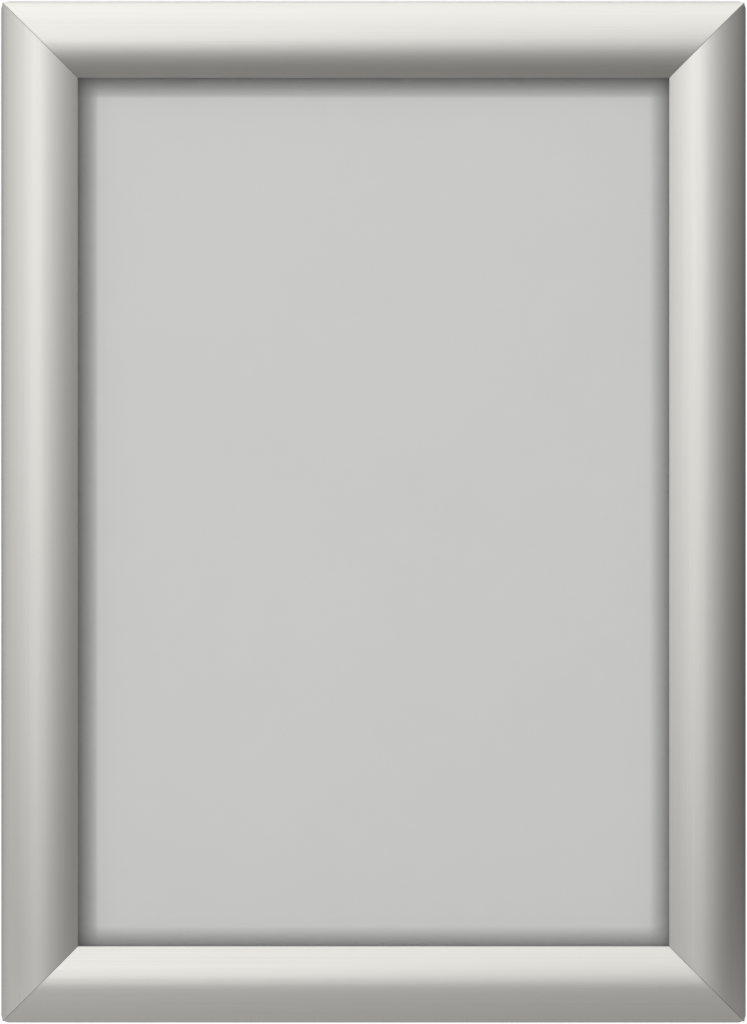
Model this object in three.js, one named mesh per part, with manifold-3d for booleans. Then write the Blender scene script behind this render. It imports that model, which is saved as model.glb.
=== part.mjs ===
// An A4 snap poster frame, in millimetres, standing upright as it hangs on a wall.
//
// Four mitred base profiles carry a back panel and a clear cover sheet. Over each base
// profile an arched front profile, the flap, snaps shut on the edge of the cover sheet.
// The flap hooks round a bead along the outer edge of the base and turns on it, and leaf
// springs between the two hold it either shut or wide open.
//
// The origin is the centre of the whole frame. +X is to the viewer's right, +Z is up, and
// the front faces -Y. Every profile is drawn as a section: u runs inwards from the outer
// edge of the frame, and h runs forwards from the wall.

import * as THREE from "three";
import { mergeVertices } from "three/addons/utils/BufferGeometryUtils.js";
import Module from "manifold-3d";

// Poster and outline
const POSTER_WIDTH = 210;
const POSTER_HEIGHT = 297;
const MARGIN = 12; // from the poster's edge out to the frame's outer edge
const FACE_WIDTH = 24.1; // of a flap, seen from the front
const DEPTH = 12; // from the wall to the crest of the arch
const MITRE_GAP = 0.2; // between two mitred ends
const FACET_CHORD = 0.55; // the longest facet on a curve of a section
const FACET_TURN = Math.PI / 15; // and the most that it may turn

// Hinge
const PIVOT_U = 2.6; // the bead's centre from the outer edge
const PIVOT_H = 4.2;
const BEAD_RADIUS = 1.45;
const HINGE_CLEARANCE = 0.25; // between the bead and the hook that turns on it
const HOOK_WALL = 0.9;
const HOOK_OUTER_END = degrees(183);
const HOOK_INNER_END = degrees(-15);
const POST_ANGLE = degrees(-62); // the way from the bead down to the base plate
const POST_THICKNESS = 1;

// Flap
const CREST_U = 13.5; // the arch's highest line from the outer edge
const ARCH_WALL = 1.1;
const LIP_HEIGHT = 2.9; // of the upright face round the opening
const LIP_WIDTH = 1.3;
const LIP_ROUNDING = 0.35;
const LIP_CLEARANCE = 0.2; // over the cover sheet
const LEG_ANGLE = degrees(-25); // the leg that the springs push, with the flap shut
const LEG_REACH = 4; // from the bead's centre to the leg's tip
const LEG_THICKNESS = 1.2;
const LEG_NOTCH = 0.3; // depth of the groove along the tip
const LEG_RELIEF = 1; // how much shorter the leg is than the flap at each mitre

// Base
const PLATE_THICKNESS = 1.2;
const PLATE_INSET = 0.2; // from the outer edge
const PANEL_STOP_CLEARANCE = 0.4; // between the sheets' edges and the rib that stops them
const RIB_THICKNESS = 1.1;
const RIB_HEIGHT = 7.6;
const RIB_HEAD_WIDTH = 1.6; // over the groove that the springs lean into
const RIB_HOOK = 0.7; // height of the head above that groove
const RIB_GROOVE = 1.5;
const RIB_SILL = 0.5; // height of the head below it
const LEDGE_INSET = 0.5; // the ledge's inner edge, back from the flap's lip
const LEDGE_THICKNESS = 0.9;
const WALL_THICKNESS = 1.1; // beside the corner keys' channel
const CHANNEL_LIP = 1.2; // how far each lip reaches over the channel
const CHANNEL_LIP_THICKNESS = 0.7;

// Corner keys
const KEY_THICKNESS = 1.2;
const KEY_CLEARANCE = 0.15; // over and under a key in its channel
const KEY_SIDE_CLEARANCE = 0.3;
const KEY_ARM = 48;
const KEY_HOLE_RADIUS = 1.6;
const KEY_HOLES = [22, 38]; // along each arm from the key's outer corner

// Sheets
const SHEET_CLEARANCE = 0.15; // under each sheet
const PANEL_THICKNESS = 1.2;
const COVER_THICKNESS = 0.5;
const SHEET_CORNER_RADIUS = 2;

// Springs
const SPRING_LENGTH = 28;
const SPRING_THICKNESS = 0.45;
const SPRING_LEG_CLEARANCE = 0.45; // from the bottom of the leg's notch to the strip's middle
const SPRING_RIB_CLEARANCE = 0.35; // from the groove's roof and back to the strip's middle
const SPRING_BOW = 0.6; // how far the middle stands off the chord
const SPRING_NECK = 3; // cut out of each corner beside the edge on the rib
const SPRING_FROM_MIDDLE_SHORT = 38; // along the top and bottom
const SPRING_FROM_MIDDLE_LONG = 80; // along the left and right

// Wall fixing holes
const FIXING_RADIUS = 2.25;
const FIXING_FROM_MIDDLE = 78; // along the top and bottom
const HOLE_SIDES = 32;

// Worked out from the values above
const WIDTH = POSTER_WIDTH + 2 * MARGIN;
const HEIGHT = POSTER_HEIGHT + 2 * MARGIN;
const RIB_INNER_U = MARGIN - PANEL_STOP_CLEARANCE;
const RIB_OUTER_U = RIB_INNER_U - RIB_THICKNESS;
const HEAD_OUTER_U = RIB_INNER_U - RIB_HEAD_WIDTH;
const GROOVE_ROOF_H = RIB_HEIGHT - RIB_HOOK;
const GROOVE_FLOOR_H = GROOVE_ROOF_H - RIB_GROOVE;
const HEAD_BOTTOM_H = GROOVE_FLOOR_H - RIB_SILL;
const LEDGE_INNER_U = FACE_WIDTH - LEDGE_INSET;
const CHANNEL_INNER_U = LEDGE_INNER_U - WALL_THICKNESS;
const CHANNEL_ROOF_H = CHANNEL_LIP_THICKNESS + KEY_THICKNESS + 2 * KEY_CLEARANCE;
const LEDGE_TOP_H = CHANNEL_ROOF_H + LEDGE_THICKNESS;
const PANEL_BACK_H = LEDGE_TOP_H + SHEET_CLEARANCE;
const COVER_BACK_H = PANEL_BACK_H + PANEL_THICKNESS + SHEET_CLEARANCE;
const COVER_FRONT_H = COVER_BACK_H + COVER_THICKNESS;
const LIP_H = COVER_FRONT_H + LIP_CLEARANCE;
const MITRE_SET_BACK = (MITRE_GAP / 2) * Math.SQRT2;
const HOOK_INNER_RADIUS = BEAD_RADIUS + HINGE_CLEARANCE;
const HOOK_RADIUS = HOOK_INNER_RADIUS + HOOK_WALL;
const PIVOT = new THREE.Vector2(PIVOT_U, PIVOT_H);
const NOTCH = polar(PIVOT, LEG_REACH - LEG_NOTCH, LEG_ANGLE);
const SPRING_LEG_END = polar(NOTCH, SPRING_LEG_CLEARANCE, LEG_ANGLE);
const SPRING_RIB_END = new THREE.Vector2(
  RIB_OUTER_U - SPRING_RIB_CLEARANCE,
  GROOVE_ROOF_H - SPRING_RIB_CLEARANCE,
);

const ALUMINIUM = new THREE.MeshStandardMaterial({ color: 0xc9c8c4, roughness: 0.42, metalness: 0.9 });
const BASE_ALUMINIUM = new THREE.MeshStandardMaterial({ color: 0xbdbcb8, roughness: 0.5, metalness: 0.9 });
const SPRING_STEEL = new THREE.MeshStandardMaterial({ color: 0x8b8f94, roughness: 0.35, metalness: 1 });
const KEY_STEEL = new THREE.MeshStandardMaterial({ color: 0xa9adb0, roughness: 0.45, metalness: 1 });
const PANEL_PLASTIC = new THREE.MeshStandardMaterial({ color: 0xc7c7c5, roughness: 0.6, metalness: 0 });
const COVER_PLASTIC = new THREE.MeshStandardMaterial({
  color: 0xf2f4f4,
  roughness: 0.25,
  metalness: 0,
  transparent: true,
  opacity: 0.3,
});

const wasm = await Module();
wasm.setup();

function degrees(angle) {
  return (angle * Math.PI) / 180;
}

function polar(centre, radius, angle) {
  return new THREE.Vector2(centre.x + radius * Math.cos(angle), centre.y + radius * Math.sin(angle));
}

// Points along an arc, both ends included, fine enough for FACET_CHORD and FACET_TURN.
function arc(centre, radius, from, to) {
  const turn = Math.abs(to - from);
  const steps = Math.max(2, Math.ceil((turn * radius) / FACET_CHORD), Math.ceil(turn / FACET_TURN));
  const points = [];
  for (let step = 0; step <= steps; step += 1) {
    points.push(polar(centre, radius, from + ((to - from) * step) / steps));
  }
  return points;
}

// A bar of this section, cut at both ends on the frame's mitres. Its section lies in local
// x and y, as u and h, and its length along local z, so that an outer edge is span long.
function mitredBar(outline, span, relief = 0) {
  const bar = new THREE.ExtrudeGeometry(new THREE.Shape(outline), { depth: 1, bevelEnabled: false });
  const place = bar.getAttribute("position");
  for (let index = 0; index < place.count; index += 1) {
    const half = span / 2 - place.getX(index) - MITRE_SET_BACK - relief;
    place.setZ(index, place.getZ(index) > 0.5 ? half : -half);
  }
  return bar;
}

function solidFrom(geometry) {
  const bare = geometry.clone();
  bare.deleteAttribute("normal");
  bare.deleteAttribute("uv");
  const merged = mergeVertices(bare);
  return new wasm.Manifold(
    new wasm.Mesh({
      numProp: 3,
      vertProperties: new Float32Array(merged.getAttribute("position").array),
      triVerts: new Uint32Array(merged.index.array),
    }),
  );
}

function geometryFrom(solid) {
  const mesh = solid.getMesh();
  const geometry = new THREE.BufferGeometry();
  geometry.setAttribute("position", new THREE.BufferAttribute(mesh.vertProperties, 3));
  geometry.setIndex(new THREE.BufferAttribute(mesh.triVerts, 1));
  return geometry;
}

// The arch is two arcs that meet at the crest. The outer one runs tangent into the round
// back of the hook, so its radius follows from the crest, the pivot and the hook.
function archRadii() {
  const across = CREST_U - PIVOT_U;
  const rise = DEPTH - PIVOT_H;
  const outer = (across ** 2 + rise ** 2 - HOOK_RADIUS ** 2) / (2 * (rise - HOOK_RADIUS));
  const run = FACE_WIDTH - CREST_U;
  const fall = DEPTH - (LIP_H + LIP_HEIGHT);
  const inner = (run ** 2 + fall ** 2) / (2 * fall);
  return { outer, inner };
}

function flapOutline() {
  const radii = archRadii();
  const outerCentre = new THREE.Vector2(CREST_U, DEPTH - radii.outer);
  const innerCentre = new THREE.Vector2(CREST_U, DEPTH - radii.inner);
  const tangent = Math.atan2(PIVOT_H - outerCentre.y, PIVOT_U - outerCentre.x);
  const crest = Math.PI / 2;
  const lipTop = Math.acos((FACE_WIDTH - CREST_U) / radii.inner);

  // where the underside of the arch meets the lip and the hook
  const underInner = radii.inner - ARCH_WALL;
  const underOuter = radii.outer - ARCH_WALL;
  const lipRoot = Math.acos((FACE_WIDTH - LIP_WIDTH - CREST_U) / underInner);
  const between = outerCentre.distanceTo(PIVOT);
  const atPivot = Math.acos((between ** 2 + HOOK_RADIUS ** 2 - underOuter ** 2) / (2 * between * HOOK_RADIUS));
  const hookRoot = Math.atan2(outerCentre.y - PIVOT_H, outerCentre.x - PIVOT_U) + atPivot;
  const meeting = polar(PIVOT, HOOK_RADIUS, hookRoot);
  const archRoot = Math.atan2(meeting.y - outerCentre.y, meeting.x - outerCentre.x);
  const lipOuter = new THREE.Vector2(FACE_WIDTH - LIP_ROUNDING, LIP_H + LIP_ROUNDING);
  const lipInner = new THREE.Vector2(FACE_WIDTH - LIP_WIDTH + LIP_ROUNDING, LIP_H + LIP_ROUNDING);

  return [
    ...arc(PIVOT, HOOK_RADIUS, HOOK_OUTER_END, tangent).slice(0, -1),
    ...arc(outerCentre, radii.outer, tangent, crest).slice(0, -1),
    ...arc(innerCentre, radii.inner, crest, lipTop),
    ...arc(lipOuter, LIP_ROUNDING, 0, -Math.PI / 2),
    ...arc(lipInner, LIP_ROUNDING, -Math.PI / 2, -Math.PI),
    ...arc(innerCentre, underInner, lipRoot, crest).slice(0, -1),
    ...arc(outerCentre, underOuter, crest, archRoot).slice(0, -1),
    ...arc(PIVOT, HOOK_RADIUS, hookRoot, HOOK_INNER_END),
    ...arc(PIVOT, HOOK_INNER_RADIUS, HOOK_INNER_END, HOOK_OUTER_END),
  ];
}

// The leg runs out of the hook's wall and ends in a shallow groove for the springs.
function legOutline() {
  const along = polar(new THREE.Vector2(), 1, LEG_ANGLE);
  const aside = polar(new THREE.Vector2(), LEG_THICKNESS / 2, LEG_ANGLE + Math.PI / 2);
  const root = HOOK_INNER_RADIUS + HOOK_WALL / 2;
  const at = (reach, side) =>
    new THREE.Vector2(
      PIVOT_U + along.x * reach + aside.x * side,
      PIVOT_H + along.y * reach + aside.y * side,
    );
  return [at(root, -1), at(LEG_REACH, -1), NOTCH.clone(), at(LEG_REACH, 1), at(root, 1)];
}

// Where the leaning post's outer (-1) or inner (1) face comes down on the base plate.
function postFoot(side) {
  const lean = -POST_ANGLE;
  return PIVOT_U + (PIVOT_H - PLATE_THICKNESS) / Math.tan(lean) + (side * POST_THICKNESS) / 2 / Math.sin(lean);
}

function baseOutline() {
  const halfNeck = Math.asin(POST_THICKNESS / 2 / BEAD_RADIUS);
  const corners = (list) => list.map(([u, h]) => new THREE.Vector2(u, h));
  return [
    ...corners([
      [PLATE_INSET, 0],
      [RIB_INNER_U + CHANNEL_LIP, 0],
      [RIB_INNER_U + CHANNEL_LIP, CHANNEL_LIP_THICKNESS],
      [RIB_INNER_U, CHANNEL_LIP_THICKNESS],
      [RIB_INNER_U, CHANNEL_ROOF_H],
      [CHANNEL_INNER_U, CHANNEL_ROOF_H],
      [CHANNEL_INNER_U, CHANNEL_LIP_THICKNESS],
      [CHANNEL_INNER_U - CHANNEL_LIP, CHANNEL_LIP_THICKNESS],
      [CHANNEL_INNER_U - CHANNEL_LIP, 0],
      [LEDGE_INNER_U, 0],
      [LEDGE_INNER_U, LEDGE_TOP_H],
      [RIB_INNER_U, LEDGE_TOP_H],
      [RIB_INNER_U, RIB_HEIGHT],
      [HEAD_OUTER_U, RIB_HEIGHT],
      [HEAD_OUTER_U, GROOVE_ROOF_H],
      [RIB_OUTER_U, GROOVE_ROOF_H],
      [RIB_OUTER_U, GROOVE_FLOOR_H],
      [HEAD_OUTER_U, GROOVE_FLOOR_H],
      [HEAD_OUTER_U, HEAD_BOTTOM_H],
      [RIB_OUTER_U, HEAD_BOTTOM_H - (RIB_OUTER_U - HEAD_OUTER_U)],
      [RIB_OUTER_U, PLATE_THICKNESS],
      [postFoot(1), PLATE_THICKNESS],
    ]),
    ...arc(PIVOT, BEAD_RADIUS, POST_ANGLE + halfNeck, POST_ANGLE + 2 * Math.PI - halfNeck),
    ...corners([[postFoot(-1), PLATE_THICKNESS], [PLATE_INSET, PLATE_THICKNESS]]),
  ];
}

// A leaf spring seen from the end: a bowed strip from the leg's notch to the rib's groove.
function springOutline() {
  const chord = SPRING_RIB_END.clone().sub(SPRING_LEG_END);
  const direction = chord.angle();
  const half = chord.length() / 2;
  const radius = (half ** 2 + SPRING_BOW ** 2) / (2 * SPRING_BOW);
  const middle = SPRING_LEG_END.clone().add(SPRING_RIB_END).multiplyScalar(0.5);
  const centre = polar(middle, radius - SPRING_BOW, direction + Math.PI / 2);
  const sweep = Math.asin(half / radius);
  const facing = direction - Math.PI / 2;
  return [
    ...arc(centre, radius + SPRING_THICKNESS / 2, facing - sweep, facing + sweep),
    ...arc(centre, radius - SPRING_THICKNESS / 2, facing + sweep, facing - sweep),
  ];
}

function makeSpring(fromMiddle) {
  const strip = new THREE.ExtrudeGeometry(new THREE.Shape(springOutline()), {
    depth: SPRING_LENGTH,
    bevelEnabled: false,
  });
  strip.translate(0, 0, fromMiddle - SPRING_LENGTH / 2);
  let solid = solidFrom(strip);
  for (const end of [-1, 1]) {
    const cut = new THREE.BoxGeometry(SPRING_NECK, SPRING_NECK * 2, SPRING_NECK);
    const tabEnd = fromMiddle + (end * SPRING_LENGTH) / 2;
    cut.translate(SPRING_RIB_END.x, SPRING_RIB_END.y - SPRING_NECK / 2, tabEnd);
    solid = solid.subtract(solidFrom(cut));
  }
  return geometryFrom(solid);
}

function makeBase(span, holes) {
  let solid = solidFrom(mitredBar(baseOutline(), span));
  const holeU = (postFoot(1) + RIB_OUTER_U) / 2;
  for (const fromMiddle of holes) {
    const drill = new THREE.CylinderGeometry(FIXING_RADIUS, FIXING_RADIUS, 3 * PLATE_THICKNESS, HOLE_SIDES);
    drill.translate(holeU, PLATE_THICKNESS / 2, fromMiddle);
    solid = solid.subtract(solidFrom(drill));
  }
  return geometryFrom(solid);
}

// Each end of the hook is cut back where it would pass the mitre with the flap wide open,
// so that two neighbouring flaps can stand open together.
function makeFlap(span) {
  const arch = solidFrom(mitredBar(flapOutline(), span));
  const leg = solidFrom(mitredBar(legOutline(), span, LEG_RELIEF));
  let flap = arch.add(leg);
  const openMitre = (PIVOT_U + PIVOT_H + MITRE_SET_BACK - span / 2) / Math.SQRT2;
  for (const end of [-1, 1]) {
    flap = flap.trimByPlane([0, 1, end], openMitre);
  }
  return geometryFrom(flap);
}

// An L-shaped plate, drawn from its outer corner along +x and +y.
function makeKey() {
  const width = CHANNEL_INNER_U - RIB_INNER_U - 2 * KEY_SIDE_CLEARANCE;
  const plate = new THREE.Shape();
  plate.moveTo(0, 0);
  plate.lineTo(KEY_ARM, 0);
  plate.lineTo(KEY_ARM, width);
  plate.lineTo(width, width);
  plate.lineTo(width, KEY_ARM);
  plate.lineTo(0, KEY_ARM);
  plate.closePath();
  for (const along of KEY_HOLES) {
    for (const [x, y] of [[along, width / 2], [width / 2, along]]) {
      const hole = new THREE.Path();
      hole.absarc(x, y, KEY_HOLE_RADIUS, 0, 2 * Math.PI, true);
      plate.holes.push(hole);
    }
  }
  return new THREE.ExtrudeGeometry(plate, { depth: KEY_THICKNESS, bevelEnabled: false, curveSegments: 10 });
}

// A cut sheet with rounded corners, drawn in x and y with its thickness along +z.
function makeSheet(thickness) {
  const right = POSTER_WIDTH / 2 - SHEET_CORNER_RADIUS;
  const top = POSTER_HEIGHT / 2 - SHEET_CORNER_RADIUS;
  const sheet = new THREE.Shape();
  sheet.absarc(right, top, SHEET_CORNER_RADIUS, 0, Math.PI / 2);
  sheet.absarc(-right, top, SHEET_CORNER_RADIUS, Math.PI / 2, Math.PI);
  sheet.absarc(-right, -top, SHEET_CORNER_RADIUS, Math.PI, (3 * Math.PI) / 2);
  sheet.absarc(right, -top, SHEET_CORNER_RADIUS, (3 * Math.PI) / 2, 2 * Math.PI);
  return new THREE.ExtrudeGeometry(sheet, { depth: thickness, bevelEnabled: false, curveSegments: 8 });
}

const frame = new THREE.Group();
frame.name = "poster_frame";

function addMesh(parent, name, geometry, material) {
  const mesh = new THREE.Mesh(geometry, material);
  mesh.name = name;
  parent.add(mesh);
  return mesh;
}

// A side's group turns its section to stand along the frame's edge. Its own group is drawn
// for the bottom edge, with u up, h forwards and the length along +X, and then turned.
function makeSide(name, turn, span, across, springsAt, holes) {
  const side = new THREE.Group();
  side.rotation.y = turn;
  const section = new THREE.Group();
  section.matrixAutoUpdate = false;
  section.matrix.makeBasis(
    new THREE.Vector3(0, 0, 1),
    new THREE.Vector3(0, -1, 0),
    new THREE.Vector3(1, 0, 0),
  );
  section.matrix.setPosition(0, DEPTH / 2, -across / 2);
  side.add(section);
  addMesh(section, `base_${name}`, makeBase(span, holes), BASE_ALUMINIUM);
  addMesh(section, `flap_${name}`, makeFlap(span), ALUMINIUM);
  for (const [end, fromMiddle] of Object.entries(springsAt)) {
    addMesh(section, `spring_${name}_${end}`, makeSpring(fromMiddle), SPRING_STEEL);
  }
  frame.add(side);
}

const short = SPRING_FROM_MIDDLE_SHORT;
const long = SPRING_FROM_MIDDLE_LONG;
const fixings = [-FIXING_FROM_MIDDLE, FIXING_FROM_MIDDLE];
makeSide("bottom", 0, WIDTH, HEIGHT, { left: -short, right: short }, fixings);
makeSide("right", -Math.PI / 2, HEIGHT, WIDTH, { lower: -long, upper: long }, []);
makeSide("top", Math.PI, WIDTH, HEIGHT, { left: short, right: -short }, fixings);
makeSide("left", Math.PI / 2, HEIGHT, WIDTH, { lower: long, upper: -long }, []);

// The keys are drawn for the bottom left corner and turned about the frame's axis.
const keyCorner = RIB_INNER_U + KEY_SIDE_CLEARANCE;
const keyY = DEPTH / 2 - CHANNEL_LIP_THICKNESS - KEY_CLEARANCE;
for (const [name, turn, wide, high] of [
  ["bottom_left", 0, WIDTH, HEIGHT],
  ["bottom_right", -Math.PI / 2, HEIGHT, WIDTH],
  ["top_right", Math.PI, WIDTH, HEIGHT],
  ["top_left", Math.PI / 2, HEIGHT, WIDTH],
]) {
  const corner = new THREE.Group();
  corner.rotation.y = turn;
  const key = addMesh(corner, `corner_key_${name}`, makeKey(), KEY_STEEL);
  key.rotation.x = Math.PI / 2;
  key.position.set(keyCorner - wide / 2, keyY, keyCorner - high / 2);
  frame.add(corner);
}

for (const [name, thickness, backH, material] of [
  ["back_panel", PANEL_THICKNESS, PANEL_BACK_H, PANEL_PLASTIC],
  ["cover_sheet", COVER_THICKNESS, COVER_BACK_H, COVER_PLASTIC],
]) {
  const sheet = addMesh(frame, name, makeSheet(thickness), material);
  sheet.rotation.x = Math.PI / 2;
  sheet.position.y = DEPTH / 2 - backH;
}

export default frame;
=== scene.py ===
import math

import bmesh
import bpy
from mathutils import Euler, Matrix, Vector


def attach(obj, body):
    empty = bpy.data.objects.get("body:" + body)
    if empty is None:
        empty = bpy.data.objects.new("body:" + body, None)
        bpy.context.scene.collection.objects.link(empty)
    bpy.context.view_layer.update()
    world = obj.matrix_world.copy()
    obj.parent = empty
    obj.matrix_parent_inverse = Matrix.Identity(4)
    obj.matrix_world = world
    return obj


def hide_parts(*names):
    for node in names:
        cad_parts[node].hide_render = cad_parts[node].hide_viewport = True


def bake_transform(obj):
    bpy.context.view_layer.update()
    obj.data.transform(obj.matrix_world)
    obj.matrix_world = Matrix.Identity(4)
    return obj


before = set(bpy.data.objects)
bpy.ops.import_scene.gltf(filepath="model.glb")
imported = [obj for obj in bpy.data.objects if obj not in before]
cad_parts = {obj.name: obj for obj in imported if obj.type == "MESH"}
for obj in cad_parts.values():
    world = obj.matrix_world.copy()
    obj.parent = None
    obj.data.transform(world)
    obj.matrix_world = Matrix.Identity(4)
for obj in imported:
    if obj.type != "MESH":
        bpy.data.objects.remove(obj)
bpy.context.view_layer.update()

# An A4 snap poster frame. Every piece is modelled in millimetres as the bottom side of the
# frame: x runs along the side, z inwards from the outer edge and y back towards the wall.
# In a section, u is the distance from the outer edge and h the height above the wall.

MM = 0.001
WIDTH = 234
HEIGHT = 321
DEPTH = 12
FACE_WIDTH = 24.1
SET_BACK = 0.06 * math.sqrt(2)  # of a front profile's mitred end, along the side
BASE_SET_BACK = 0.02  # of a rear profile's, which the keys hold shut
SLIVER = 0.02  # the width that an arc is spun from
ARC_STEPS = 44
PROFILE_SMOOTH = 6  # degrees, more than between an arc's facets
CLOSE = 0.1  # well under the distance between a piece's corners
OVERRUN = 2  # of a round tool past the ends of a profile, in all
HOLE_FACETS = 72

PIVOT = Vector((2.6, 4.2))
BEAD_RADIUS = 1.45
BEAD_FACETS = 72
HOOK_INNER = 1.7
HOOK_OUTER = 2.6
HOOK_ENDS = (-15, 183)  # degrees round the bead
HOOK_STEPS = (6, 52)
HOOK_FACETS = 96  # round the whole bore
POST_ANGLE = math.radians(-62)
POST_THICKNESS = 1

CREST_U = 12.7
ARCH_WALL = 1.1
LIP_H = 5.3
LIP_TOP_H = 8.2
LIP_WIDTH = 1.3
LEG_ANGLE = math.radians(-25)
LEG_REACH = 4
LEG_THICKNESS = 1.2
LEG_NOTCH = 0.3
LEG_RELIEF = 1
FLAP_EASE = 0.13

PLATE = 1.2
PLATE_INSET = 0.2
RIB_OUTER_U = 10.5
RIB_INNER_U = 11.6
HEAD_OUTER_U = 10
RIB_H = 7.6
LOWER_HEAD_H = (4.9, 5.4)  # the springs' tabs lie between the two heads
UPPER_HEAD_H = (6.9, RIB_H)
CHANNEL_LIP = 1.2
CHANNEL_LIP_H = 0.7
CHANNEL_ROOF_H = 2.2
CHANNEL_INNER_U = 22.5
LEDGE_INNER_U = 23.6
LEDGE_TOP_H = 3.1
FIXING_RADIUS = 2.25
FIXINGS = (-78, 78)  # along the side
BASE_EASE = 0.12

SPRING_LENGTH = 28
SPRING_THICKNESS = 0.45
SPRING_BOW = 0.6
SPRING_TAB = 1.5
SPRING_STEPS = 12
SPRING_EASE = 0.06
SPRING_REACH = 4.15
SPRING_RIB_END = Vector((10.15, 6.55))
SPRING_LEG_END = PIVOT + SPRING_REACH * Vector((math.cos(LEG_ANGLE), math.sin(LEG_ANGLE)))

KEY_WIDTH = 10.3
KEY_THICKNESS = 1.2
KEY_ARM = 48
KEY_CORNER = 0.8
KEY_HOLES = (22, 38)
KEY_HOLE_RADIUS = 1.6
KEY_CORNER_U = 11.9
KEY_BACK_H = 0.85
KEY_EASE = 0.18

POSTER_WIDTH = 210
POSTER_HEIGHT = 297
SHEET_CORNER = 2
SHEET_EASE = 0.08
PANEL_THICKNESS = 1.2
PANEL_BACK_H = 3.25
COVER_THICKNESS = 0.5
COVER_BACK_H = 4.6
CORNER_SEGMENTS = 8

# The studio, in metres. The cards stand on the walls, the ceiling and the floor of a room.
CAMERA_DISTANCE = 2.6
SENSOR_HEIGHT = 36  # in millimetres; Blender lays its sensor's width along the longer side
VIEW_HEIGHT = 0.3219  # what the picture takes in at the hinges' depth
HINGE_Y = 0.0018
FLOOR_Z = -0.168
FLOOR_PAINT = 0.92
FLOOR_LIFT = 0.3
WORLD_LIGHT = 0.78
ROOM_SIDE = 1.2
ROOM_TOP = 0.9
ROOM_FRONT = -2.0
ROOM_BACK = 0.5
KERB_FRONT = -0.06
CARD_GAP = 0.001  # over the floor

# side: the turn from the bottom, the way it runs, the frame's size across it, and its
# springs' places along it
SIDES = {
    "bottom": (0, "x", HEIGHT, {"left": -38, "right": 38}),
    "right": (-90, "z", WIDTH, {"lower": -80, "upper": 80}),
    "top": (180, "x", HEIGHT, {"left": 38, "right": -38}),
    "left": (90, "z", WIDTH, {"lower": 80, "upper": -80}),
}


# Modelling

def polar(centre, radius, angle):
    return centre + radius * Vector((math.cos(angle), math.sin(angle)))


def begin(name, u, h, du, dh, turn=0.0, x=0.0):
    """A flat rectangle lying in the section at x, turned about its middle, in edit mode."""
    bpy.ops.object.select_all(action="DESELECT")
    bpy.ops.mesh.primitive_plane_add(size=1, location=(x, -h, u), rotation=(0, math.pi / 2, 0))
    piece = bpy.context.object
    piece.name = piece.data.name = name
    piece.scale = (du, dh, 1)
    bpy.ops.object.transform_apply(location=False)
    piece.rotation_euler.x = turn
    bpy.ops.object.transform_apply()
    bpy.ops.object.mode_set(mode="EDIT")
    return piece


def pick(piece, test):
    """Selects what lies between the points at x, u and h that pass the test."""
    bpy.ops.mesh.select_mode(type="VERT")
    bpy.ops.mesh.select_all(action="DESELECT")
    mesh = bmesh.from_edit_mesh(piece.data)
    for vertex in mesh.verts:
        vertex.select = test(vertex.co.x, vertex.co.z, -vertex.co.y)
    mesh.select_flush(True)
    bmesh.update_edit_mesh(piece.data)


def pick_edge(piece, u, h):
    """Selects the edge of a section whose middle is nearest to u and h."""
    bpy.ops.mesh.select_mode(type="EDGE")
    bpy.ops.mesh.select_all(action="DESELECT")
    mesh = bmesh.from_edit_mesh(piece.data)
    place = Vector((-h, u))
    nearest = min(
        mesh.edges,
        key=lambda edge: ((edge.verts[0].co + edge.verts[1].co).yz / 2 - place).length,
    )
    nearest.select_set(True)
    bmesh.update_edit_mesh(piece.data)


def spin(centre, angle, steps):
    """Sweeps the selected edge anticlockwise, which for the operator is a negative angle."""
    bpy.ops.mesh.spin(steps=steps, angle=-angle, center=(0, -centre.y, centre.x), axis=(1, 0, 0))


def push(du, dh):
    bpy.ops.mesh.extrude_region_move(TRANSFORM_OT_translate={"value": (0, -dh, du)})


def lengthen(piece, length):
    """Extrudes the whole section along the side, about its middle."""
    bpy.ops.mesh.select_mode(type="FACE")
    bpy.ops.mesh.select_all(action="SELECT")
    bpy.ops.mesh.extrude_region_move(TRANSFORM_OT_translate={"value": (length, 0, 0)})
    bpy.ops.mesh.select_all(action="SELECT")
    bpy.ops.transform.translate(value=(-length / 2, 0, 0))
    bpy.ops.mesh.remove_doubles(threshold=0.001)
    bpy.ops.mesh.normals_make_consistent(inside=False)
    bpy.ops.object.mode_set(mode="OBJECT")


def saw(piece, point, normal):
    """Cuts off what lies beyond a plane and closes the cut."""
    bpy.context.view_layer.objects.active = piece
    bpy.ops.object.mode_set(mode="EDIT")
    bpy.ops.mesh.select_all(action="SELECT")
    bpy.ops.mesh.bisect(
        plane_co=point, plane_no=normal, use_fill=True, clear_outer=True, threshold=1e-5
    )
    bpy.ops.object.mode_set(mode="OBJECT")


def mitre(piece, span, set_back):
    half = span / 2 - set_back
    for end in (-1, 1):
        saw(piece, (end * half, 0, 0), (end, 0, 1))


def combine(piece, tool, operation):
    change = piece.modifiers.new("combine", "BOOLEAN")
    change.object = tool
    change.operation = operation
    change.solver = "EXACT"
    bpy.context.view_layer.objects.active = piece
    bpy.ops.object.modifier_apply(modifier=change.name)
    bpy.data.objects.remove(tool)


def drill(piece, x, u, radius, low, high):
    """A hole from the back to the front."""
    bpy.ops.mesh.primitive_cylinder_add(
        vertices=HOLE_FACETS, radius=radius, depth=high - low, location=(x, -(low + high) / 2, u),
        rotation=(math.pi / 2, 0, 0),
    )
    combine(piece, bpy.context.object, "DIFFERENCE")


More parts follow.
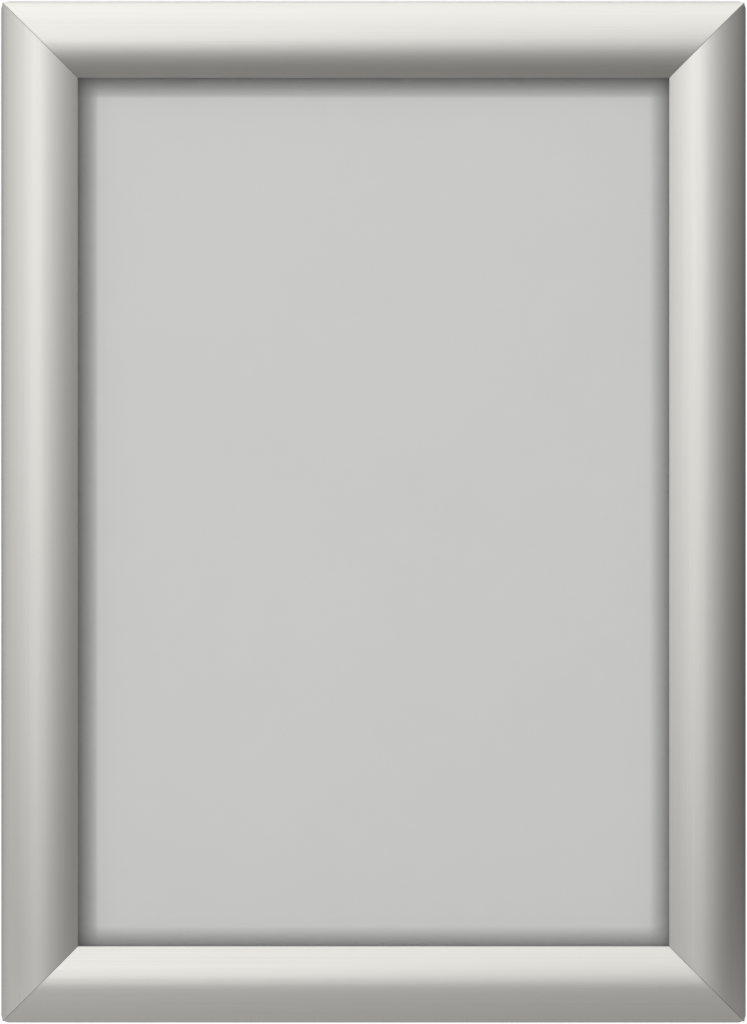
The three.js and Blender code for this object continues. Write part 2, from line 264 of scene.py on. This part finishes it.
def ease_edges(piece, width, smooth=15):
    """Breaks the sharp edges and shades smooth the faces that meet at less than an angle."""
    bpy.ops.object.select_all(action="DESELECT")
    piece.select_set(True)
    bpy.context.view_layer.objects.active = piece
    bevel = piece.modifiers.new("eased edges", "BEVEL")
    bevel.width = width
    bevel.segments = 2
    bevel.limit_method = "ANGLE"
    bevel.angle_limit = math.radians(35)
    bpy.ops.object.modifier_apply(modifier=bevel.name)
    bpy.ops.object.shade_smooth_by_angle(angle=math.radians(smooth))


def put(piece, turn, across, along=0.0):
    """Moves a finished piece from the drawing to its side of the frame, in metres."""
    bpy.ops.object.select_all(action="DESELECT")
    piece.select_set(True)
    bpy.context.view_layer.objects.active = piece
    piece.location += Vector((along, DEPTH / 2, -across / 2))
    bpy.ops.object.transform_apply()
    piece.rotation_euler.y = math.radians(turn)
    piece.scale = (MM, MM, MM)
    bpy.ops.object.transform_apply()
    return piece


def turned(point, turn, across, along):
    """Where put moves a point of a section to."""
    place = Vector((along, DEPTH / 2 - point.y, point.x - across / 2)) * MM
    place.rotate(Euler((0, math.radians(turn), 0)))
    return place


# Pieces

def make_flap(name, span):
    """The front profile: an arch that runs out into the hook of the hinge."""
    rise = DEPTH - PIVOT.y
    across = CREST_U - PIVOT.x
    outer = (across ** 2 + rise ** 2 - HOOK_OUTER ** 2) / (2 * (rise - HOOK_OUTER))
    run = FACE_WIDTH - CREST_U
    fall = DEPTH - LIP_TOP_H
    inner = (run ** 2 + fall ** 2) / (2 * fall)
    outer_centre = Vector((CREST_U, DEPTH - outer))
    inner_centre = Vector((CREST_U, DEPTH - inner))
    to_hook = math.atan2(PIVOT.y - outer_centre.y, PIVOT.x - outer_centre.x) - math.pi / 2
    to_lip = math.pi / 2 - math.acos(run / inner)

    flap = begin(name, CREST_U, DEPTH - ARCH_WALL / 2, SLIVER, ARCH_WALL)
    pick_edge(flap, CREST_U - SLIVER / 2, DEPTH - ARCH_WALL / 2)
    spin(outer_centre, to_hook, ARC_STEPS)
    pick_edge(flap, CREST_U + SLIVER / 2, DEPTH - ARCH_WALL / 2)
    spin(inner_centre, -to_lip, ARC_STEPS)
    push(0, LIP_H - LIP_TOP_H)
    pick(flap, lambda x, u, h: CREST_U < u < FACE_WIDTH - CLOSE and h < LIP_H + 2 * CLOSE)
    end = next(v.co for v in bmesh.from_edit_mesh(flap.data).verts if v.select)
    bpy.ops.transform.translate(value=(0, -(LIP_H + end.y), FACE_WIDTH - LIP_WIDTH - end.z))
    lengthen(flap, span)

    wall = HOOK_OUTER - HOOK_INNER
    root = HOOK_INNER + wall / 2
    hook = begin("hook", PIVOT.x + root, PIVOT.y, wall, SLIVER)
    for side, end, steps in zip((-1, 1), HOOK_ENDS, HOOK_STEPS):
        pick_edge(hook, PIVOT.x + root, PIVOT.y + side * SLIVER / 2)
        spin(PIVOT, math.radians(end), steps)
    lengthen(hook, span + OVERRUN)
    combine(flap, hook, "UNION")
    bpy.ops.mesh.primitive_cylinder_add(
        vertices=HOOK_FACETS, radius=HOOK_INNER, depth=span + 2 * OVERRUN,
        location=(0, -PIVOT.y, PIVOT.x), rotation=(0, math.pi / 2, 0),
    )
    combine(flap, bpy.context.object, "DIFFERENCE")

    mitre(flap, span, SET_BACK)
    open_mitre = span / 2 - PIVOT.x - PIVOT.y - SET_BACK
    for side in (-1, 1):
        saw(flap, (side * open_mitre, 0, 0), (side, 1, 0))

    middle = polar(PIVOT, (root + LEG_REACH) / 2, LEG_ANGLE)
    leg = begin("leg", middle.x, middle.y, LEG_REACH - root, LEG_THICKNESS, LEG_ANGLE)
    tip = polar(PIVOT, LEG_REACH, LEG_ANGLE)
    pick_edge(leg, tip.x, tip.y)
    bpy.ops.mesh.subdivide(number_cuts=1)
    notch = polar(PIVOT, LEG_REACH - LEG_NOTCH, LEG_ANGLE)
    pick(leg, lambda x, u, h: (Vector((u, h)) - tip).length < CLOSE / 2)
    bpy.ops.transform.translate(value=(0, tip.y - notch.y, notch.x - tip.x))
    lengthen(leg, span)
    mitre(leg, span, SET_BACK + LEG_RELIEF)
    combine(flap, leg, "UNION")
    ease_edges(flap, FLAP_EASE, PROFILE_SMOOTH)
    return flap


def make_base(name, span, holes):
    """The rear profile: the bead, the springs' rib, the sheets' ledge and the keys' channel."""
    lean = -POST_ANGLE
    foot = PIVOT.x + (PIVOT.y - PLATE) / math.tan(lean)
    half_foot = POST_THICKNESS / 2 / math.sin(lean)

    rib_u = (RIB_OUTER_U + RIB_INNER_U) / 2
    base = begin(name, rib_u, CHANNEL_LIP_H / 2, RIB_INNER_U - RIB_OUTER_U, CHANNEL_LIP_H)
    heights = [CHANNEL_LIP_H, PLATE, CHANNEL_ROOF_H, LEDGE_TOP_H, *LOWER_HEAD_H, *UPPER_HEAD_H]
    for low, high in zip(heights, heights[1:]):
        pick_edge(base, rib_u, low)
        push(0, high - low)
    for low, high in (LOWER_HEAD_H, UPPER_HEAD_H):
        pick_edge(base, RIB_OUTER_U, (low + high) / 2)
        push(HEAD_OUTER_U - RIB_OUTER_U, 0)
    for low, high in ((0, CHANNEL_LIP_H), (CHANNEL_LIP_H, PLATE)):
        pick_edge(base, RIB_OUTER_U, (low + high) / 2)
        push(foot + half_foot - RIB_OUTER_U, 0)
        push(-2 * half_foot, 0)
        push(PLATE_INSET - foot + half_foot, 0)
    pick_edge(base, foot, PLATE)
    push(PIVOT.x - foot, PIVOT.y - PLATE)
    pick_edge(base, RIB_INNER_U, CHANNEL_LIP_H / 2)
    push(CHANNEL_LIP, 0)
    pick_edge(base, RIB_INNER_U, (CHANNEL_ROOF_H + LEDGE_TOP_H) / 2)
    push(CHANNEL_INNER_U - RIB_INNER_U, 0)
    push(LEDGE_INNER_U - CHANNEL_INNER_U, 0)
    pick_edge(base, (CHANNEL_INNER_U + LEDGE_INNER_U) / 2, CHANNEL_ROOF_H)
    push(0, CHANNEL_LIP_H - CHANNEL_ROOF_H)
    push(0, -CHANNEL_LIP_H)
    pick_edge(base, CHANNEL_INNER_U, CHANNEL_LIP_H / 2)
    push(-CHANNEL_LIP, 0)
    lengthen(base, span)

    bpy.ops.mesh.primitive_cylinder_add(
        vertices=BEAD_FACETS, radius=BEAD_RADIUS, depth=span + OVERRUN,
        location=(0, -PIVOT.y, PIVOT.x), rotation=(0, math.pi / 2, 0),
    )
    combine(base, bpy.context.object, "UNION")
    for x in holes:
        drill(base, x, (foot + half_foot + RIB_OUTER_U) / 2, FIXING_RADIUS, -1, 2 * PLATE)
    mitre(base, span, BASE_SET_BACK)
    ease_edges(base, BASE_EASE, PROFILE_SMOOTH)
    return base


def make_spring(name):
    """A bowed strip of spring steel, with a narrower tab in the rib's groove."""
    chord = SPRING_RIB_END - SPRING_LEG_END
    direction = math.atan2(chord.y, chord.x)
    half = chord.length / 2
    radius = (half ** 2 + SPRING_BOW ** 2) / (2 * SPRING_BOW)
    midpoint = (SPRING_LEG_END + SPRING_RIB_END) / 2
    centre = polar(midpoint, radius - SPRING_BOW, direction + math.pi / 2)
    sweep = math.asin(half / radius)
    facing = direction - math.pi / 2
    middle = polar(centre, radius, facing)
    spring = begin(name, middle.x, middle.y, SPRING_THICKNESS, SLIVER, facing)
    for side in (-1, 1):
        edge = polar(middle, SLIVER / 2, facing + side * math.pi / 2)
        pick_edge(spring, edge.x, edge.y)
        spin(centre, side * sweep, SPRING_STEPS)
    lengthen(spring, SPRING_LENGTH)
    for side in (-1, 1):
        place = (side * SPRING_LENGTH / 2, -SPRING_RIB_END.y + SPRING_TAB, SPRING_RIB_END.x)
        bpy.ops.mesh.primitive_cube_add(
            size=1, location=place, scale=(2 * SPRING_TAB, 4 * SPRING_TAB, 2 * SPRING_TAB)
        )
        combine(spring, bpy.context.object, "DIFFERENCE")
    ease_edges(spring, SPRING_EASE)
    return spring


def make_key(name):
    """The bottom left corner's key, stamped from sheet, with its outer corner at x = z = 0."""
    bpy.ops.object.select_all(action="DESELECT")
    bpy.ops.mesh.primitive_plane_add(
        size=KEY_WIDTH, location=(KEY_WIDTH / 2, 0, KEY_WIDTH / 2), rotation=(math.pi / 2, 0, 0)
    )
    key = bpy.context.object
    key.name = key.data.name = name
    bpy.ops.object.transform_apply()
    bpy.ops.object.mode_set(mode="EDIT")
    reach = KEY_ARM - KEY_WIDTH
    pick(key, lambda x, u, h: x > KEY_WIDTH - CLOSE)
    bpy.ops.mesh.extrude_region_move(TRANSFORM_OT_translate={"value": (reach, 0, 0)})
    pick(key, lambda x, u, h: u > KEY_WIDTH - CLOSE and x < KEY_WIDTH + CLOSE)
    bpy.ops.mesh.extrude_region_move(TRANSFORM_OT_translate={"value": (0, 0, reach)})
    pick(key, lambda x, u, h: x > KEY_ARM - CLOSE or u > KEY_ARM - CLOSE)
    bpy.ops.mesh.bevel(offset=KEY_CORNER, segments=CORNER_SEGMENTS, affect="VERTICES")
    bpy.ops.mesh.select_all(action="SELECT")
    bpy.ops.mesh.extrude_region_move(TRANSFORM_OT_translate={"value": (0, -KEY_THICKNESS, 0)})
    bpy.ops.mesh.select_all(action="SELECT")
    bpy.ops.mesh.normals_make_consistent(inside=False)
    bpy.ops.object.mode_set(mode="OBJECT")
    for along in KEY_HOLES:
        for x, u in ((along, KEY_WIDTH / 2), (KEY_WIDTH / 2, along)):
            drill(key, x, u, KEY_HOLE_RADIUS, -1, KEY_THICKNESS + 1)
    ease_edges(key, KEY_EASE)
    return key


def make_sheet(name, thickness):
    """A sheet cut to the poster's size, with rounded corners, its back on y = 0."""
    bpy.ops.object.select_all(action="DESELECT")
    bpy.ops.mesh.primitive_plane_add(size=1, rotation=(math.pi / 2, 0, 0))
    sheet = bpy.context.object
    sheet.name = sheet.data.name = name
    sheet.scale = (POSTER_WIDTH, POSTER_HEIGHT, 1)
    bpy.ops.object.transform_apply()
    bpy.ops.object.mode_set(mode="EDIT")
    bpy.ops.mesh.select_all(action="SELECT")
    bpy.ops.mesh.bevel(offset=SHEET_CORNER, segments=CORNER_SEGMENTS, affect="VERTICES")
    bpy.ops.mesh.select_all(action="SELECT")
    bpy.ops.mesh.extrude_region_move(TRANSFORM_OT_translate={"value": (0, -thickness, 0)})
    bpy.ops.mesh.select_all(action="SELECT")
    bpy.ops.mesh.normals_make_consistent(inside=False)
    bpy.ops.object.mode_set(mode="OBJECT")
    ease_edges(sheet, SHEET_EASE)
    return sheet


def copy_of(piece, name):
    twin = piece.copy()
    twin.data = piece.data.copy()
    twin.name = twin.data.name = name
    bpy.context.scene.collection.objects.link(twin)
    return twin


# Materials

# The painted shade that darkens the backing sheet's colour near the profiles, deeper on the key
# light's side:
TOWARDS_KEY = (-0.16, 0.0, 0.16)  # how far the test of openness leans to the key light
SHADE_REACH = 0.0066
SHADE_START = 0.965  # how open a spot is where the shade begins
SHADE_CURVE = 0.35


def linear(code):
    """A linear colour from an sRGB hex value."""
    parts = [int(code[i:i + 2], 16) / 255 for i in (1, 3, 5)]
    return (*[c / 12.92 if c <= 0.04045 else ((c + 0.055) / 1.055) ** 2.4 for c in parts], 1)


def add(tree, kind, inputs=None, **settings):
    """Adds a node, sets it, and feeds each named input with a value or another node's socket."""
    node = tree.nodes.new(kind)
    for key, value in settings.items():
        setattr(node, key, value)
    for key, value in (inputs or {}).items():
        if isinstance(value, bpy.types.NodeSocket):
            tree.links.new(value, node.inputs[key])
        else:
            node.inputs[key].default_value = value
    return node


def new_material(name):
    material = bpy.data.materials.new(name)
    material.use_nodes = True
    material.node_tree.nodes.clear()
    return material, material.node_tree


def close(tree, shader):
    add(tree, "ShaderNodeOutputMaterial", {"Surface": shader.outputs[0]})


def painted_shade(tree, colour):
    """Paints shade into a colour: darkens it where other surfaces within 7 mm stand over it, and
    more so where they stand on the side of the key light, at the upper left."""
    surface = add(tree, "ShaderNodeNewGeometry")
    upper_left = add(tree, "ShaderNodeVectorMath", {
        0: surface.outputs["True Normal"], 1: TOWARDS_KEY}, operation="ADD")
    openness = add(tree, "ShaderNodeAmbientOcclusion", {
        "Distance": SHADE_REACH, "Normal": upper_left.outputs[0]}, samples=16)
    cover = add(tree, "ShaderNodeMapRange", {
        "Value": openness.outputs["AO"], "From Min": SHADE_START, "From Max": 0.0})
    depth = add(tree, "ShaderNodeMath", {
        0: cover.outputs[0], 1: SHADE_CURVE}, operation="POWER")
    return add(tree, "ShaderNodeMix", {
        "Factor": depth.outputs[0], 6: colour, 7: (0, 0, 0, 1)}, data_type="RGBA").outputs[2]


def anodised_aluminium(name, along, light, dark, roughness):
    """Extruded aluminium, etched and then silver anodised: a soft satin sheen with fine lines
    along the extrusion, 0.3 mm apart, over a grain of 0.15 mm."""
    material, tree = new_material(name)
    place = add(tree, "ShaderNodeTexCoord").outputs["Object"]
    stretch = {"x": (8, 3300, 3300), "z": (3300, 3300, 8)}[along]
    lined = add(tree, "ShaderNodeMapping", {"Vector": place, "Scale": stretch})
    lines = add(tree, "ShaderNodeTexNoise", {
        "Vector": lined.outputs[0], "Scale": 1.0, "Detail": 3.0, "Roughness": 0.6})
    grain = add(tree, "ShaderNodeTexNoise", {"Vector": place, "Scale": 6500.0, "Detail": 1.0})
    lengthways = add(tree, "ShaderNodeCombineXYZ", {along.upper(): 1.0})
    tone = add(tree, "ShaderNodeMapRange", {
        "Value": lines.outputs["Fac"], "From Min": 0.3, "From Max": 0.7})
    colour = add(tree, "ShaderNodeMix", {
        "Factor": tone.outputs[0], 6: linear(dark), 7: linear(light)}, data_type="RGBA")
    rough = add(tree, "ShaderNodeMapRange", {
        "Value": lines.outputs["Fac"], "From Min": 0.3, "From Max": 0.7,
        "To Min": roughness + 0.015, "To Max": roughness - 0.015})
    relief = add(tree, "ShaderNodeMath", {0: lines.outputs["Fac"], 1: grain.outputs["Fac"]},
                 operation="ADD")
    bump = add(tree, "ShaderNodeBump", {
        "Height": relief.outputs[0], "Strength": 0.1, "Distance": 0.00001})
    close(tree, add(tree, "ShaderNodeBsdfPrincipled", {
        "Base Color": colour.outputs[2], "Metallic": 1.0, "Roughness": rough.outputs[0],
        "Anisotropic": 0.5, "Anisotropic Rotation": 0.25, "Tangent": lengthways.outputs[0],
        "Normal": bump.outputs[0]}))
    return material


def spring_steel():
    """Hardened and tempered strip, rolled smooth: grey blue, with a dull gloss and faint
    streaks."""
    material, tree = new_material("spring_steel")
    place = add(tree, "ShaderNodeTexCoord").outputs["Object"]
    streaks = add(tree, "ShaderNodeTexNoise", {"Vector": place, "Scale": 900.0, "Detail": 4.0})
    colour = add(tree, "ShaderNodeMix", {
        "Factor": streaks.outputs["Fac"], 6: linear("#7e8389"), 7: linear("#a4a8ad")},
        data_type="RGBA")
    bump = add(tree, "ShaderNodeBump", {
        "Height": streaks.outputs["Fac"], "Strength": 0.2, "Distance": 0.00002})
    close(tree, add(tree, "ShaderNodeBsdfPrincipled", {
        "Base Color": colour.outputs[2], "Metallic": 1.0, "Roughness": 0.32,
        "Normal": bump.outputs[0]}))
    return material


def zinc_plated_steel():
    """Stamped sheet, zinc plated and passivated: bright and slightly blue, in faint clouds
    about 3 mm across."""
    material, tree = new_material("zinc_plated_steel")
    place = add(tree, "ShaderNodeTexCoord").outputs["Object"]
    clouds = add(tree, "ShaderNodeTexNoise", {"Vector": place, "Scale": 330.0, "Detail": 3.0})
    grain = add(tree, "ShaderNodeTexNoise", {"Vector": place, "Scale": 5000.0})
    colour = add(tree, "ShaderNodeMix", {
        "Factor": clouds.outputs["Fac"], 6: linear("#aab0b6"), 7: linear("#d3d8dc")},
        data_type="RGBA")
    rough = add(tree, "ShaderNodeMapRange", {
        "Value": clouds.outputs["Fac"], "To Min": 0.42, "To Max": 0.28})
    bump = add(tree, "ShaderNodeBump", {
        "Height": grain.outputs["Fac"], "Strength": 0.2, "Distance": 0.00002})
    close(tree, add(tree, "ShaderNodeBsdfPrincipled", {
        "Base Color": colour.outputs[2], "Metallic": 1.0, "Roughness": rough.outputs[0],
        "Normal": bump.outputs[0]}))
    return material


def polystyrene_sheet():
    """Extruded light grey polystyrene: an even colour and a fine matt grain of 0.4 mm. Its colour
    carries a deep soft painted shade within about 7 mm of the profiles that stand over it."""
    material, tree = new_material("polystyrene_sheet")
    place = add(tree, "ShaderNodeTexCoord").outputs["Object"]
    grain = add(tree, "ShaderNodeTexNoise", {"Vector": place, "Scale": 2500.0, "Detail": 2.0})
    clouds = add(tree, "ShaderNodeTexNoise", {"Vector": place, "Scale": 20.0})
    colour = add(tree, "ShaderNodeMix", {
        "Factor": clouds.outputs["Fac"], 6: linear("#c6c6c4"), 7: linear("#cacac8")},
        data_type="RGBA")
    bump = add(tree, "ShaderNodeBump", {
        "Height": grain.outputs["Fac"], "Strength": 0.05, "Distance": 0.00003})
    # the base colour carries a painted shade under the profiles' lips
    close(tree, add(tree, "ShaderNodeBsdfPrincipled", {
        "Base Color": painted_shade(tree, colour.outputs[2]), "Roughness": 0.6,
        "Normal": bump.outputs[0]}))
    return material


def low_glare_film():
    """Clear PET with an etched front that breaks up reflections, over a grain of 0.2 mm."""
    material, tree = new_material("low_glare_film")
    place = add(tree, "ShaderNodeTexCoord").outputs["Object"]
    etch = add(tree, "ShaderNodeTexNoise", {"Vector": place, "Scale": 5000.0, "Detail": 1.0})
    bump = add(tree, "ShaderNodeBump", {
        "Height": etch.outputs["Fac"], "Strength": 0.1, "Distance": 0.00001})
    close(tree, add(tree, "ShaderNodeBsdfPrincipled", {
        "Base Color": linear("#f4f6f6"), "Roughness": 0.35, "IOR": 1.57, "Alpha": 0.07,
        "Normal": bump.outputs[0]}))
    return material


def shown(tree):
    """Is 1 for a ray that shows a surface, straight, in gloss or through the film, and 0 for one
    that lights it."""
    path = add(tree, "ShaderNodeLightPath").outputs
    seen = add(tree, "ShaderNodeMath", {0: path["Is Camera Ray"], 1: path["Is Glossy Ray"]},
               operation="MAXIMUM")
    return add(tree, "ShaderNodeMath", {0: seen.outputs[0], 1: path["Is Transmission Ray"]},
               operation="MAXIMUM").outputs[0]


def pale_floor():
    """Matt white paint that keeps the frame's shadow, and is lifted to white where it is seen."""
    material, tree = new_material("pale_floor")
    lift = add(tree, "ShaderNodeMath", {0: shown(tree), 1: FLOOR_LIFT}, operation="MULTIPLY")
    paint = add(tree, "ShaderNodeBsdfDiffuse", {"Color": (*[FLOOR_PAINT] * 3, 1)})
    glow = add(tree, "ShaderNodeEmission", {"Strength": lift.outputs[0]})
    close(tree, add(tree, "ShaderNodeAddShader", {0: paint.outputs[0], 1: glow.outputs[0]}))
    return material


# The frame

flap_finish = {
    axis: anodised_aluminium(f"satin_anodised_aluminium_{axis}", axis, "#e6e4df", "#e1dfda", 0.41)
    for axis in ("x", "z")
}
base_finish = {
    axis: anodised_aluminium(f"plain_anodised_aluminium_{axis}", axis, "#cccbc6", "#c2c1bd", 0.5)
    for axis in ("x", "z")
}
spring_finish = spring_steel()
key_finish = zinc_plated_steel()


def finish(piece, material, slot, body, *stands_for):
    piece.data.materials.clear()
    piece.data.materials.append(material)
    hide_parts(*stands_for)
    if body:
        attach(piece, body)


spring_model = make_spring("spring_model")
key_model = make_key("key_model")
models = {
    "x": (make_flap("short_flap", WIDTH), make_base("short_base", WIDTH, FIXINGS)),
    "z": (make_flap("long_flap", HEIGHT), make_base("long_base", HEIGHT, ())),
}
for side, (turn, axis, across, springs) in SIDES.items():
    flap_model, base_model = models[axis]
    flap = put(copy_of(flap_model, f"front_profile_{side}"), turn, across)
    finish(flap, flap_finish[axis], "flap_aluminium", f"flap_{side}", f"flap_{side}")
    base = put(copy_of(base_model, f"rear_profile_{side}"), turn, across)
    finish(base, base_finish[axis], "base_aluminium", "frame", f"base_{side}")
    for end, from_middle in springs.items():
        spring = put(copy_of(spring_model, f"leaf_spring_{side}_{end}"), turn, across, from_middle)
        finish(spring, spring_finish, "spring_steel", None, f"spring_{side}_{end}")
        on_rib, on_leg = (
            turned(point, turn, across, from_middle) for point in (SPRING_RIB_END, SPRING_LEG_END)
        )
        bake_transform(spring)

for name, turn, across, along in (
    ("bottom_left", 0, HEIGHT, WIDTH),
    ("bottom_right", -90, WIDTH, HEIGHT),
    ("top_right", 180, HEIGHT, WIDTH),
    ("top_left", 90, WIDTH, HEIGHT),
):
    key = copy_of(key_model, f"corner_bracket_{name}")
    key.location = (KEY_CORNER_U - along / 2, -KEY_BACK_H, KEY_CORNER_U)
    key = put(key, turn, across)
    finish(key, key_finish, "key_steel", "frame", f"corner_key_{name}")

for name, thickness, back, material, slot, node in (
    ("backing_sheet", PANEL_THICKNESS, PANEL_BACK_H, polystyrene_sheet(), "panel_plastic",
     "back_panel"),
    ("clear_cover", COVER_THICKNESS, COVER_BACK_H, low_glare_film(), "cover_plastic",
     "cover_sheet"),
):
    sheet = make_sheet(name, thickness)
    sheet.location.y = -back
    put(sheet, 0, 0)
    finish(sheet, material, slot, "frame", node)
sheet.visible_shadow = False  # the cover is clear

for piece in (spring_model, key_model, *models["x"], *models["z"]):
    bpy.data.objects.remove(piece)


# Studio

bpy.context.scene.view_settings.view_transform = "Standard"

camera = bpy.data.objects.new("camera", bpy.data.cameras.new("camera"))
bpy.context.scene.collection.objects.link(camera)
bpy.context.scene.camera = camera
camera.location.y = -CAMERA_DISTANCE
camera.rotation_euler = (math.pi / 2, 0, 0)
camera.data.sensor_width = SENSOR_HEIGHT
camera.data.lens = SENSOR_HEIGHT * (CAMERA_DISTANCE + HINGE_Y) / VIEW_HEIGHT
camera.data.clip_end = 50

world = bpy.data.worlds.new("studio")
bpy.context.scene.world = world
world.use_nodes = True
tree = world.node_tree
tree.nodes.clear()
level = add(tree, "ShaderNodeMapRange", {
    "Value": shown(tree), "To Min": WORLD_LIGHT, "To Max": 1.0})
sky = add(tree, "ShaderNodeBackground", {"Color": (1, 1, 1, 1), "Strength": level.outputs[0]})
add(tree, "ShaderNodeOutputWorld", {"Surface": sky.outputs[0]})


def card(name, size, place, facing, levels):
    """A plain studio card that only the metal's reflections see. Its level runs evenly between
    its corners, which are given for its lower edge and then for its upper edge."""
    bpy.ops.object.select_all(action="DESELECT")
    bpy.ops.mesh.primitive_plane_add(size=1, location=place)
    piece = bpy.context.object
    piece.name = piece.data.name = name
    piece.scale = (*size, 1)
    piece.rotation_euler = Vector(facing).to_track_quat("Z", "Y").to_euler()
    material, tree = new_material(name)
    across = add(tree, "ShaderNodeSeparateXYZ", {
        "Vector": add(tree, "ShaderNodeTexCoord").outputs["Generated"]})
    low, high = (
        add(tree, "ShaderNodeMapRange", {
            "Value": across.outputs["X"], "To Min": start, "To Max": end})
        for start, end in (levels[:2], levels[2:])
    )
    level = add(tree, "ShaderNodeMapRange", {
        "Value": across.outputs["Y"], "To Min": low.outputs[0], "To Max": high.outputs[0]})
    close(tree, add(tree, "ShaderNodeEmission", {"Strength": level.outputs[0]}))
    piece.data.materials.append(material)
    piece.visible_camera = False
    piece.visible_diffuse = False
    piece.visible_shadow = False


def softbox(name, size, place, power):
    """A square lamp that faces the middle of the frame, and that gloss doesn't see."""
    light = bpy.data.objects.new(name, bpy.data.lights.new(name, "AREA"))
    bpy.context.scene.collection.objects.link(light)
    light.data.size = size
    light.data.energy = power
    light.visible_glossy = False
    light.location = place
    light.rotation_euler = Vector(place).to_track_quat("Z", "Y").to_euler()


softbox("key_light", 1.7, (-2.1, -1.4, 2.1), 32)
card_floor = FLOOR_Z + CARD_GAP
wall_height = ROOM_TOP - card_floor
wall_z = (ROOM_TOP + card_floor) / 2
room_width = 2 * ROOM_SIDE
room_depth = ROOM_BACK - ROOM_FRONT
room_y = (ROOM_FRONT + ROOM_BACK) / 2
below_y = (ROOM_FRONT + KERB_FRONT) / 2
kerb_y = (KERB_FRONT + ROOM_BACK) / 2
for name, size, place, facing, levels in (
    ("front_left", (ROOM_SIDE, wall_height), (-ROOM_SIDE / 2, ROOM_FRONT, wall_z), (0, 1, 0),
     (1.8, 1.15, 1.82, 1.36)),
    ("front_right", (ROOM_SIDE, wall_height), (ROOM_SIDE / 2, ROOM_FRONT, wall_z), (0, 1, 0),
     (0.7, 0.7, 0.86, 0.81)),
    ("left", (room_depth, wall_height), (-ROOM_SIDE, room_y, wall_z), (1, 0, 0),
     (1.17, 0.54, 1.23, 0.67)),
    ("right", (room_depth, wall_height), (ROOM_SIDE, room_y, wall_z), (-1, 0, 0),
     (0.02, 0.35, 0.36, 0.93)),
    ("above", (room_width, room_depth), (0, room_y, ROOM_TOP), (0, 0, -1),
     (0.59, 1.31, 0.88, 1.69)),
    ("below", (room_width, KERB_FRONT - ROOM_FRONT), (0, below_y, card_floor), (0, 0, 1),
     (0.02, 0.3, 0.36, 0.29)),
    ("kerb", (room_width, ROOM_BACK - KERB_FRONT), (0, kerb_y, card_floor), (0, 0, 1),
     (0.02, 0.02, 0.02, 0.92)),
    ("behind", (room_width, wall_height), (0, ROOM_BACK, wall_z), (0, -1, 0),
     (0.02, 0.02, 0.02, 0.02)),
    ("back", (0.7, 0.7), (0, 0.48, 0.1), (0, -1, 0), (0.9, 0.9, 0.9, 0.9)),
):
    card(f"card_{name}", size, place, facing, levels)

bpy.ops.object.select_all(action="DESELECT")
bpy.ops.mesh.primitive_plane_add(size=80, location=(0, 0, FLOOR_Z))
floor = bpy.context.object
floor.name = floor.data.name = "floor"
floor.data.materials.append(pale_floor())
